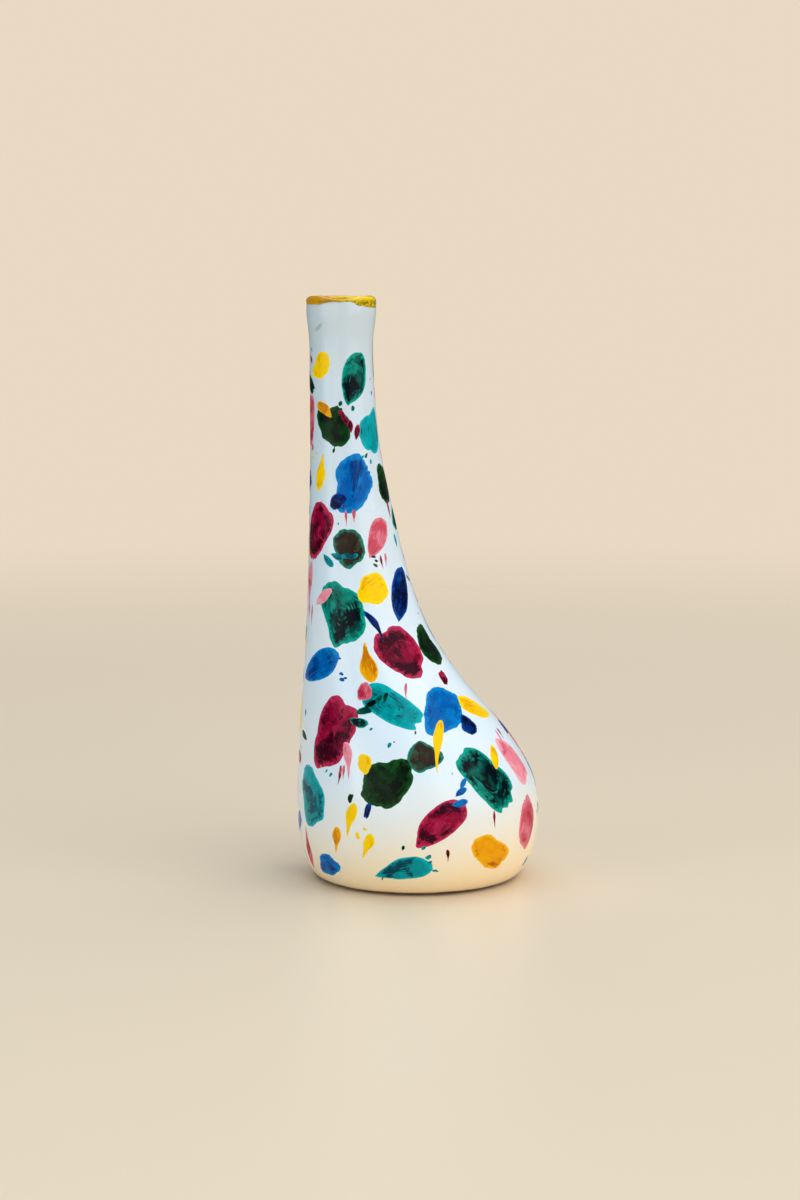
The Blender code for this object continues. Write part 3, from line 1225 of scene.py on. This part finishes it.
@dataclass
class Decoration:
    """The painted pattern: a free scatter of dabs, leaves and drops in the glaze colours, round the pot.

    Its sizes and heights are in mm.
    """

    form: PotForm
    seed: int = 11
    lowest: float = 12.0
    highest: float = 243.0
    neck_from: float = 130.0
    neck_share: float = 0.85
    plain_above: float = 251.0
    fan_width: float = 0.42
    fan_spacing: float = 0.62
    fan_shrink: float = 0.86
    fan_turn: float = 0.22
    fan_tilt: float = 62.0
    fan_swing: float = 22.0
    crossing: float = 0.42
    marks: list[Mark] = field(default_factory=list)

    def touch(self, pigment: Pigment, stroke: Stroke, *sizes: float, **more: float) -> None:
        """Adds one mark to the pattern."""
        self.marks.append(Mark(pigment, stroke, *sizes, seed=len(self.marks), **more))

    def compose(self) -> list[Mark]:
        """Works out the whole pattern.

        Returns:
            The marks.
        """
        self.front_neck()
        self.front_shoulder()
        self.front_belly()
        self.back()
        self.splash_and_drip()
        self.fill_gaps()
        self.spatter()
        return self.marks

    def fan(
        self, pigment: Pigment, angle: float, height: float, count: int, size: float, lean: float
    ) -> None:
        """Adds a row of short touches of the brush, which turn as they go.

        Args:
            pigment: Their colour.
            angle: The angle of the first, in degrees.
            height: The height of the first, in mm.
            count: How many touches.
            size: The length of the longest, in mm.
            lean: The way the row runs, in degrees from straight up.
        """
        way = math.radians(lean)
        for step in range(count):
            width, tilt = self.fan_width * size, lean + self.fan_tilt - self.fan_swing * step
            self.touch(pigment, Stroke.LEAF, angle, height, size, width, tilt=tilt, over=2)
            angle += self.fan_spacing * size * math.sin(way) * self.per_mm(height)
            height += self.fan_spacing * size * math.cos(way)
            way += self.fan_turn
            size *= self.fan_shrink

    def front_neck(self) -> None:
        """The marks on the front of the neck."""
        p, s = Pigment, Stroke
        self.touch(p.YELLOW, s.DAB, -40, 238, 13, 10, tilt=30)
        self.touch(p.EMERALD, s.LEAF, 24, 232, 25, 13, tilt=16)
        self.touch(p.ROSE, s.SWEEP, -76, 213, 24, 9, tilt=5)
        self.touch(p.BOTTLE_GREEN, s.DAB, -20, 211, 20, 16, tilt=-20)
        self.touch(p.AMBER, s.LEAF, -34, 218, 11, 5, tilt=-50, over=1)
        self.touch(p.TURQUOISE, s.DAB, 56, 208, 21, 14, tilt=10)
        self.touch(p.CERULEAN, s.DAB, 8, 185, 26, 19, tilt=14)
        self.touch(p.COBALT, s.DAB, -16, 177, 9, 7, tilt=40, over=1)
        self.touch(p.YELLOW, s.DROP, -44, 190, 17, 7, tilt=8)
        self.touch(p.BOTTLE_GREEN, s.DAB, 68, 184, 20, 11, tilt=-12)
        self.fan(p.CRIMSON, 24, 208, 4, 7, -50)

    def front_shoulder(self) -> None:
        """The marks on the front, from the root of the neck to the shoulder."""
        p, s = Pigment, Stroke
        self.touch(p.CRIMSON, s.DAB, -52, 163, 27, 17, tilt=12)
        self.touch(p.OLIVE, s.DAB, -6, 156, 18, 15, tilt=-30)
        self.touch(p.ROSE, s.LEAF, 34, 160, 21, 10, tilt=30)
        self.touch(p.YELLOW, s.DAB, 16, 137, 17, 13, tilt=60)
        self.touch(p.COBALT, s.LEAF, 50, 134, 27, 12, tilt=24)
        self.touch(p.PINK, s.TAIL, -68, 137, 23, 8, bend=-1)
        self.touch(p.EMERALD, s.DAB, -24, 126, 31, 21, tilt=-18)
        self.touch(p.PINK, s.LEAF, -43, 133, 13, 5, tilt=50, over=1)
        self.touch(p.CRIMSON, s.DAB, 26, 109, 29, 20, tilt=-32)
        self.touch(p.BOTTLE_GREEN, s.DAB, 62, 110, 20, 15)
        self.touch(p.CERULEAN, s.LEAF, -54, 101, 29, 14, tilt=62)
        self.touch(p.AMBER, s.DROP, -4, 105, 19, 9, tilt=-14)
        self.touch(p.COBALT, s.TAIL, 8, 120, 17, 4, tilt=-30, bend=1, over=1)
        self.fan(p.TURQUOISE, -34, 150, 4, 8, 70)

    def front_belly(self) -> None:
        """The marks on the front of the belly."""
        p, s = Pigment, Stroke
        self.touch(p.TURQUOISE, s.SWEEP, 2, 86, 30, 14, tilt=-58)
        self.touch(p.ROSE, s.DAB, -13, 92, 9, 7, tilt=20, over=1)
        self.touch(p.CERULEAN, s.DAB, 36, 83, 26, 21, tilt=40)
        self.touch(p.COBALT, s.DAB, 46, 76, 11, 9, tilt=10, over=1)
        self.touch(p.YELLOW, s.LEAF, 66, 82, 24, 11, tilt=-62)
        self.touch(p.CRIMSON, s.DAB, -42, 73, 34, 24, tilt=22)
        self.touch(p.PINK, s.TAIL, -33, 62, 17, 6, tilt=-12, over=1)
        self.touch(p.OLIVE, s.DAB, 9, 64, 17, 13, tilt=70)
        self.touch(p.PINK, s.DAB, 66, 58, 25, 16, tilt=-28)
        self.touch(p.EMERALD, s.SWEEP, 38, 53, 34, 19, tilt=-42, bend=2)
        self.touch(p.YELLOW, s.LEAF, 50, 61, 13, 5, tilt=24, over=1)
        self.touch(p.BOTTLE_GREEN, s.DAB, -13, 53, 27, 20, tilt=40)
        self.touch(p.YELLOW, s.DAB, -23, 61, 9, 7, tilt=-30, over=1)
        self.touch(p.TURQUOISE, s.DAB, -61, 42, 28, 22, tilt=-18)
        self.touch(p.CRIMSON, s.LEAF, 10, 34, 30, 15, tilt=52)
        self.touch(p.YELLOW, s.TAIL, -33, 35, 16, 7, tilt=14)
        self.touch(p.YELLOW, s.TAIL, -25, 24, 13, 6, tilt=22)
        self.touch(p.AMBER, s.TAIL, -42, 25, 13, 6, tilt=8)
        self.touch(p.AMBER, s.DAB, 36, 20, 22, 15, tilt=-64)
        self.touch(p.ROSE, s.DAB, 62, 30, 24, 16, tilt=20)
        self.touch(p.ROSE, s.DROP, -68, 17, 20, 7)
        self.touch(p.CERULEAN, s.DAB, -50, 11, 17, 10, tilt=70)
        self.touch(p.TURQUOISE, s.LEAF, -7, 13, 27, 11, tilt=76)
        self.fan(p.EMERALD, -22, 79, 5, 10, 40)
        self.fan(p.CERULEAN, 20, 44, 3, 8, 20)
        self.touch(p.YELLOW, s.TAIL, 21, 69, 28, 6, tilt=16, bend=-2, over=1)

    def per_mm(self, height: float) -> float:
        """How many degrees one millimetre round the pot is at a height in mm."""
        _, radius = self.form.outside(np.array([height * MM]))
        return MM / math.radians(float(radius[0]))

    def room(self, angle: float, height: float, reach: float) -> bool:
        """Whether a new mark would clear those already there.

        Args:
            angle: Its angle, in degrees.
            height: Its height, in mm.
            reach: Its own half-size, in mm.

        Returns:
            True if there is room.
        """
        per_mm = self.per_mm(height)
        for mark in self.marks:
            across = ((angle - mark.angle + 180) % 360 - 180) / per_mm
            if math.hypot(across, height - mark.height) < reach + mark.reach:
                return False
        return True

    def scatter(
        self,
        luck: random.Random,
        tries: int,
        angles: tuple[float, float],
        sizes: tuple[float, float],
        clear: float,
    ) -> None:
        """Adds marks at random wherever there is room.

        Args:
            luck: Where the random numbers come from.
            tries: How many places to try.
            angles: The first and the last angle.
            sizes: The least and the greatest length.
            clear: How much white stays round each mark, in mm.
        """
        often = [Pigment.EMERALD, Pigment.BOTTLE_GREEN, Pigment.CRIMSON]
        often += [Pigment.CERULEAN, Pigment.TURQUOISE, Pigment.YELLOW]
        pigments = often + [pigment for pigment in Pigment if pigment is not Pigment.INK]
        strokes = [Stroke.DAB, Stroke.DAB, Stroke.DAB, Stroke.LEAF, Stroke.TAIL, Stroke.DROP, Stroke.SWEEP]
        for _ in range(tries):
            height = luck.uniform(self.lowest, self.highest)
            length = luck.uniform(*sizes) * (1.0 if height < self.neck_from else self.neck_share)
            stroke = luck.choice(strokes)
            width = length * (luck.uniform(0.62, 0.85) if stroke is Stroke.DAB else luck.uniform(0.35, 0.5))
            tilt = luck.uniform(-20, 20) if stroke in (Stroke.TAIL, Stroke.DROP) else luck.uniform(-70, 70)
            angle, pigment = luck.uniform(*angles), luck.choice(pigments)
            if self.room(angle, height, 0.25 * (length + width) + clear):
                self.touch(pigment, stroke, angle, height, length, width, tilt=tilt)

    def back(self) -> None:
        """Spreads marks like those of the front over the sides and the back."""
        luck = random.Random(self.seed)
        first = len(self.marks)
        self.scatter(luck, 900, (80, 280), (21, 33), 1.5)
        self.scatter(luck, 300, (80, 280), (11, 17), 2.5)
        for mark in self.marks[first:]:
            if mark.length > 18 and luck.random() < 0.35:
                self.cross_edge(mark, luck)

    def cross_edge(self, mark: Mark, luck: random.Random) -> None:
        """Lays a smaller mark of another colour across a mark's edge.

        Args:
            mark: The mark below.
            luck: Where the random numbers come from.
        """
        pigment = luck.choice([Pigment.COBALT, Pigment.AMBER, Pigment.ROSE, Pigment.YELLOW])
        size, way = mark.length * luck.uniform(0.3, 0.4), luck.uniform(0, math.tau)
        angle = mark.angle + self.crossing * mark.width * math.cos(way) * self.per_mm(mark.height)
        height = mark.height + self.crossing * mark.length * math.sin(way)
        stroke = luck.choice([Stroke.LEAF, Stroke.DAB])
        if pigment is not mark.pigment:
            tilt = luck.uniform(-60, 60)
            self.touch(pigment, stroke, angle, height, size, size * 0.55, tilt=tilt, over=1)

    def splash_and_drip(self) -> None:
        """Lets some of the larger marks throw a few drops, and hangs thin drips below others."""
        luck = random.Random(self.seed + 3)
        for mark in [mark for mark in self.marks if mark.length > 15 and not mark.over]:
            fate = luck.random()
            if fate < 0.30:
                self.throw_drops(mark, luck)
            elif fate < 0.50:
                self.hang_drips(mark, luck)

    def throw_drops(self, mark: Mark, luck: random.Random) -> None:
        """Throws drops of a mark's own colour to one side of it.

        Args:
            mark: The mark.
            luck: Where the random numbers come from.
        """
        per_mm, start = self.per_mm(mark.height), luck.uniform(0, math.tau)
        for _ in range(luck.randint(3, 6)):
            way, far = start + luck.uniform(-0.6, 0.6), mark.reach * luck.uniform(1.25, 1.7)
            angle, height = mark.angle + far * math.cos(way) * per_mm, mark.height + far * math.sin(way)
            size = luck.uniform(0.9, 2.6)
            if 6 < height < self.plain_above and self.room(angle, height, 0.3 * size):
                tilt = math.degrees(math.pi / 2 - way)
                self.touch(mark.pigment, Stroke.DAB, angle, height, size * 1.4, size * 0.8, tilt=tilt)

    def hang_drips(self, mark: Mark, luck: random.Random) -> None:
        """Hangs thin red drips below a mark.

        Args:
            mark: The mark.
            luck: Where the random numbers come from.
        """
        per_mm = self.per_mm(mark.height)
        for _ in range(luck.randint(1, 3)):
            length = luck.uniform(6, 10)
            angle = mark.angle + luck.uniform(-0.3, 0.3) * mark.width * per_mm
            height = mark.height - mark.reach - luck.uniform(0.3, 0.6) * length
            if height > 10:
                pigment, tilt = luck.choice([Pigment.ROSE, Pigment.CRIMSON]), luck.uniform(-8, 8)
                width = luck.uniform(1.4, 2.1)
                self.touch(pigment, Stroke.TAIL, angle, height, length, width, tilt=tilt, over=1)

    def fill_gaps(self) -> None:
        """Adds middling marks in what is left, all round the pot."""
        luck = random.Random(self.seed + 1)
        self.scatter(luck, 420, (-180, 180), (5.5, 9.5), 1.5)

    def spatter(self) -> None:
        """Flicks drips and specks between the larger marks, all round the pot."""
        luck = random.Random(self.seed + 2)
        small = [Pigment.ROSE, Pigment.BOTTLE_GREEN, Pigment.CERULEAN]
        small += [Pigment.YELLOW, Pigment.CRIMSON, Pigment.EMERALD]
        for _ in range(170):
            angle, height = luck.uniform(-180, 180), luck.uniform(8, self.plain_above - 4)
            length = luck.uniform(2.0, 6.5)
            width = length * luck.uniform(0.26, 0.6)
            stroke = luck.choice([Stroke.TAIL, Stroke.DROP, Stroke.LEAF, Stroke.DAB])
            if self.room(angle, height, length * 0.3 + 0.6):
                pigment, tilt = luck.choice(small), luck.uniform(-24, 24)
                self.touch(pigment, stroke, angle, height, length, width, tilt=tilt)
        for _ in range(60):
            angle, height = luck.uniform(-180, 180), luck.uniform(5, self.plain_above - 6)
            size = luck.uniform(0.35, 0.8)
            if self.room(angle, height, size):
                self.touch(Pigment.INK, Stroke.DAB, angle, height, size * luck.uniform(1, 1.6), size)


@dataclass
class Pot:
    """The clay and its three coats of glaze.

    A depth lies under the finished skin. Each coat has rows over its face and fewer rows over its back.
    """

    form: PotForm
    sides: int = 192
    coat: float = 0.00052
    coat_from: float = 0.00115
    coat_to: float = 0.2665
    coat_rounding: float = 0.0005
    tuck: float = 0.0009
    tuck_reach: float = 0.0013
    band: float = 0.0005
    band_bead: float = 0.00045
    bead_depth: float = 0.0003
    crown_sag: float = 0.00035
    inner_band: float = 0.0060
    clay_face: float = 0.00054
    clay_back: float = 0.0043
    clay_from: float = 0.0009
    clay_to: float = 0.2662
    bore_from: float = 0.2655
    ring_width: float = 0.0090
    recess: float = 0.0020
    lining_back: float = 0.00432
    lining_face: float = 0.0050
    floor: float = 0.0084
    lining_floor: float = 0.0006
    clay_under_floor: float = 0.0009
    inner_heel: float = 0.0120
    above_heel: float = 0.002
    heel_rows: int = 7

    def __post_init__(self) -> None:
        """Prepares the maker of skins."""
        self.skins = Skins(self.sides)
        self.turns = self.skins.turns()[None, :]

    def rows_by_length(self, low: float, high: float, count: int) -> np.ndarray:
        """Heights that share out the right-hand outline in equal lengths.

        Args:
            low: The lowest height.
            high: The highest height.
            count: How many heights.

        Returns:
            The heights as a column of shares from 0 to 1 between low and high.
        """
        fine = np.linspace(low, high, 4000)
        shift, radius = self.form.outside(fine)
        path = np.concatenate([[0], np.cumsum(np.hypot(np.diff(fine), np.diff(shift + radius)))])
        heights = np.interp(np.linspace(0, path[-1], count), path, fine)
        return ((heights - low) / (high - low))[:, None]

    def white_coat(self) -> bpy.types.Object:
        """The white glaze outside, rounded at its foot and tucked under the yellow band.

        Returns:
            The object.
        """
        low = coat_foot(self.turns)
        high = band_edge(self.form, self.turns) + self.tuck
        shares = self.rows_by_length(self.coat_from, self.coat_to, 196)
        face, back = low + shares * (high - low), low + shares[::-3] * (high - low)
        rounding = np.clip(1 - (face - low) / self.coat_rounding, 0, 1)
        back_rounding = np.clip(1 - (back - low) / self.coat_rounding, 0, 1)
        tucked = np.clip(1 - (high - face) / self.tuck_reach, 0, 1)
        face_depth = 0.5 * self.coat * (1 - np.sqrt(1 - rounding**2)) + 0.6 * self.coat * tucked**2
        back_depth = self.coat - 0.45 * self.coat * back_rounding
        skins = [self.form.place(self.turns, face, face_depth), self.form.place(self.turns, back, back_depth)]
        return self.skins.tube("white_glaze_coat", np.concatenate(skins), WhiteGlaze().dress())

    def crown(self, depth: float, count: int) -> tuple[np.ndarray, np.ndarray, np.ndarray]:
        """The slices over the rounded top of the lip.

        Args:
            depth: How deep under the finished skin.
            count: How many slices.

        Returns:
            The heights, shifts and radii, from the outside to the bore.
        """
        form = self.form
        base = form.height - form.lip_crown
        depth = depth + form.skin
        turn = np.linspace(0, math.pi, count)[:, None]
        _, lip = form.outside(np.array([[base]]))
        half = form.wall / 2 - depth
        waver = 0.05 * np.sin(3 * self.turns + 2.0) + 0.04 * np.sin(5 * self.turns)
        top = form.lip_crown - depth - self.crown_sag * (0.09 - waver) / 0.18
        heights = base + top * np.sin(turn)
        radii = lip - form.wall / 2 + half * np.cos(turn)
        return heights, np.full(heights.shape, form.lip_shift), radii + 0 * heights

    def lip_band(self) -> bpy.types.Object:
        """The yellow glaze over the lip, with a thick uneven lower edge.

        Returns:
            The object.
        """
        form = self.form
        edge = band_edge(form, self.turns)
        base = form.height - form.lip_crown
        rise = np.linspace(0, 1, 12)[:, None] ** 1.5
        outer = edge + rise * (base - edge)
        bead = np.clip((outer - edge) / self.band_bead, 0, 1)
        # The hand-made unevenness fades out where the crown begins, so that the two meet without a crease.
        even_outer = rise * (form.unevenness(self.turns, outer) - form.skin)
        outer_depth = self.bead_depth * (1 - np.sqrt(1 - (1 - bead) ** 2)) - even_outer
        fall = np.linspace(0, 1, 10)[:, None]
        inside = base - fall * (self.inner_band - form.lip_crown) + 0 * self.turns
        inside += 0.0005 * np.sin(3 * self.turns + 1) * (inside < base - 0.001)
        inside_depth = form.wall - form.skin - (1 - fall) * form.unevenness(self.turns, inside)
        rows = [
            form.place(self.turns, outer, outer_depth),
            form.ring(self.turns, *(part[1:-1] for part in self.crown(0.0, 22))),
            form.place(self.turns, inside, inside_depth),
            form.place(self.turns, inside[::-3], inside_depth[::-3] - self.band),
            form.ring(self.turns, *(part[::-1][1:-1] for part in self.crown(self.band, 9))),
            form.place(self.turns, outer[::-4], self.band - even_outer[::-4]),
        ]
        return self.skins.tube("yellow_lip_glaze", np.concatenate(rows), LipGlaze().dress())

    def floor_rows(self, level: float, depth: float) -> list[np.ndarray]:
        """Rows over an inner floor and up its rounded corner.

        Args:
            level: The floor's height.
            depth: How deep the wall above it lies.

        Returns:
            The rows, from the middle outwards.
        """
        form, heel, rows = self.form, self.inner_heel, []
        for share in (0.15, 0.4, 0.7):
            shift, radius = form.layer(np.array([[level]]), depth)
            rows.append(form.ring(self.turns, np.array([[level]]), shift, (radius - heel) * share))
        for turn in np.linspace(0, math.pi / 2, self.heel_rows):
            height = np.array([[level + heel * (1 - math.cos(turn))]])
            shift, radius = form.layer(height, depth)
            rows.append(form.ring(self.turns, height, shift, radius - heel * (1 - math.sin(turn))))
        return rows

    def clay_body(self) -> bpy.types.Object:
        """The fired clay, bare at its foot.

        Returns:
            The object.
        """
        form = self.form
        inside, outside = form.foot_radius - self.ring_width, form.foot_radius
        foot = [
            (self.recess, 0.004),
            (self.recess, 0.016),
            (self.recess, inside - 0.0026),
            (self.recess - 0.0002, inside - 0.0018),
            (0.0006, inside - 0.0004),
            (0.0001, inside),
            (0.0, inside + 0.0006),
            (0.0, outside - 0.0022),
            (0.0, outside - 0.0008),
            (0.0001, outside - 0.0003),
            (0.0004, outside + 0.0004),
        ]
        heights, radii = np.array(foot).T[:, :, None]
        shift = np.full(heights.shape, form.foot_shift)
        shares = self.rows_by_length(0.0012, 0.266, 90)
        wall = self.clay_from + shares * (self.clay_to - self.clay_from) + 0 * self.turns
        level = self.floor - self.clay_under_floor
        low = level + self.inner_heel + self.above_heel
        bore = np.linspace(self.bore_from, low, 60)[:, None] + 0 * self.turns
        rows = [
            form.ring(self.turns, heights, shift, radii),
            form.place(self.turns, wall, self.clay_face),
            form.ring(self.turns, *self.crown(self.clay_face, 9)),
            form.place(self.turns, bore, self.clay_back),
            *self.floor_rows(level, self.clay_back)[::-1],
        ]
        return self.skins.bag("fired_clay_body", np.concatenate(rows), FiredClay().dress())

    def lining(self) -> bpy.types.Object:
        """The pale glaze inside, an open cup as deep as the pot.

        Returns:
            The object.
        """
        form = self.form
        top = form.height - self.inner_band - 0.0002
        layers = []
        under = (self.floor - self.lining_floor, self.lining_back)
        for level, depth in (under, (self.floor, self.lining_face)):
            low = level + self.inner_heel + self.above_heel
            heights = np.linspace(low, top, 110)[:, None] + 0 * self.turns
            wall = form.place(self.turns, heights, depth)
            layers.append(np.concatenate([*self.floor_rows(level, depth), wall]))
        back, face = layers
        return self.skins.bag("pale_lining_glaze", np.concatenate([back, face[::-1]]), LiningGlaze().dress())


@dataclass(frozen=True)
class StudioFloor:
    """A plain pale floor with a faint sheen, which melts into the backdrop further off."""

    colour: Colour = screen_colour(240, 220, 192)
    size: float = 7.0
    near: float = 0.25
    far: float = 1.7

    def dress(self) -> bpy.types.Material:
        """Builds the floor's finish.

        Returns:
            The material.
        """
        kit = NodeKit("studio_floor")
        place = kit.object_place()
        warm = tuple(value * 0.97 for value in self.colour)
        colour = kit.blend(kit.noise(place, 3, detail=2), self.colour, warm)
        made = kit.finish(colour, 0.40)
        away = kit.node("VectorMath", {0: place}, operation="LENGTH").outputs["Value"]
        kit.tree.links.new(kit.between(away, self.far, self.near), kit.shader.inputs["Alpha"])
        return made

    def lay(self) -> bpy.types.Object:
        """Lays the floor under the pot.

        Returns:
            The floor.
        """
        bm = bmesh.new()
        bmesh.ops.create_circle(bm, cap_ends=True, segments=96, radius=self.size)
        mesh = bpy.data.meshes.new("studio_floor")
        bm.to_mesh(mesh)
        bm.free()
        mesh.materials.append(self.dress())
        made = bpy.data.objects.new("studio_floor", mesh)
        bpy.context.scene.collection.objects.link(made)
        return made


@dataclass(frozen=True)
class SoftLight:
    """A rectangular soft light that faces the pot. Its power is in watts."""

    name: str
    place: tuple[float, float, float]
    size: tuple[float, float]
    power: float
    tint: Colour
    target: tuple[float, float, float] = (0.0, 0.0, 0.12)

    def hang(self) -> None:
        """Puts the light in the scene."""
        light = bpy.data.lights.new(self.name, "AREA")
        light.shape = "RECTANGLE"
        light.size, light.size_y = self.size
        light.energy = self.power
        light.color = self.tint
        made = bpy.data.objects.new(self.name, light)
        made.location = self.place
        way = Vector(self.target) - Vector(self.place)
        made.rotation_euler = way.to_track_quat("-Z", "Y").to_euler()
        bpy.context.scene.collection.objects.link(made)


@dataclass(frozen=True)
class Studio:
    """Soft, plain light round the pot, and the camera at the photograph's angle.

    The lens and the height of its frame are in mm, and the camera looks down by an angle in degrees.
    """

    backdrop: Colour = screen_colour(233, 217, 195)
    cool_side: Colour = (0.13, 0.26, 0.38)
    warm_side: Colour = (0.60, 0.62, 0.63)
    cool_to_warm: tuple[float, float] = (-1.0, 0.6)
    mirrored: float = 0.24
    lights: tuple[SoftLight, ...] = (
        SoftLight("key_light", (1.5, -1.35, 1.1), (2.4, 2.4), 26, (0.96, 0.98, 1.0)),
        SoftLight("cool_light", (-1.6, -0.9, 0.7), (1.0, 1.6), 6.5, (0.78, 0.91, 1.0)),
        SoftLight("top_light", (0.1, 0.5, 1.8), (2.0, 1.6), 18, (1.0, 0.99, 0.98)),
        SoftLight("low_light", (-1.1, -1.5, 0.25), (1.8, 0.8), 6.6, (1.0, 0.93, 0.83)),
    )
    lens: float = 78.1
    frame_height: float = 36.0
    camera_place: tuple[float, float, float] = (-0.0086, -1.2, 0.2736)
    look_down: float = 6.85

    def world(self) -> None:
        """Surrounds the pot with pale light, cooler from the left, and shows the plain backdrop behind it."""
        made = bpy.data.worlds.new("studio")
        made.use_nodes = True
        kit = Nodes(made.node_tree)
        way = kit.node("TexCoord").outputs["Generated"]
        across = kit.node("SeparateXYZ", {"Vector": way}).outputs["X"]
        tint = kit.blend(kit.between(across, *self.cool_to_warm), self.cool_side, self.warm_side)
        path = kit.node("LightPath").outputs
        dimming = {"Value": path["Is Glossy Ray"], "To Min": 1.0, "To Max": self.mirrored}
        light = kit.tree.nodes["Background"]
        kit.tree.links.new(tint, light.inputs["Color"])
        kit.tree.links.new(kit.node("MapRange", dimming).outputs["Result"], light.inputs["Strength"])
        seen = kit.node("Background", {"Color": (*self.backdrop, 1)})
        sides = {1: light.outputs["Background"], 2: seen.outputs["Background"]}
        mix = kit.node("MixShader", {"Fac": path["Is Camera Ray"], **sides})
        kit.tree.links.new(mix.outputs["Shader"], kit.tree.nodes["World Output"].inputs["Surface"])
        bpy.context.scene.world = made

    def camera(self) -> None:
        """Sets the camera a little above the lip, looking a little down."""
        data = bpy.data.cameras.new("camera")
        data.sensor_fit = "VERTICAL"
        data.sensor_height = self.frame_height
        data.lens = self.lens
        made = bpy.data.objects.new("camera", data)
        made.location = self.camera_place
        made.rotation_euler = (math.pi / 2 - math.radians(self.look_down), 0, 0)
        bpy.context.scene.collection.objects.link(made)
        bpy.context.scene.camera = made

    def set_up(self) -> None:
        """Puts the floor, the light and the camera in place."""
        StudioFloor().lay()
        self.world()
        for light in self.lights:
            light.hang()
        self.camera()
        bpy.context.scene.view_settings.view_transform = "Standard"


def report(made: bpy.types.Object, nodes: Sequence[str] = ()) -> None:
    """Hands a finished piece to the frame and says what it is.

    Args:
        made: The piece.
        nodes: The solids that it stands for.
    """
    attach(made, BODY)
    if nodes:
        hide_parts(*nodes)
    LOG.info("%s: %d faces", made.name, len(made.data.polygons))


def main() -> None:
    """Builds and dresses the whole cruet."""
    logging.basicConfig(level=logging.INFO, format="%(message)s")
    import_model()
    Studio().set_up()
    form = PotForm()
    pot = Pot(form)
    report(pot.clay_body(), ["clay_body"])
    report(pot.white_coat(), ["white_coat"])
    report(pot.lining(), ["glaze_lining"])
    report(pot.lip_band(), ["lip_band"])
    for piece in BrushWork(form).paint(Decoration(form).compose()):
        report(piece)


if __name__ == "__main__":
    main()
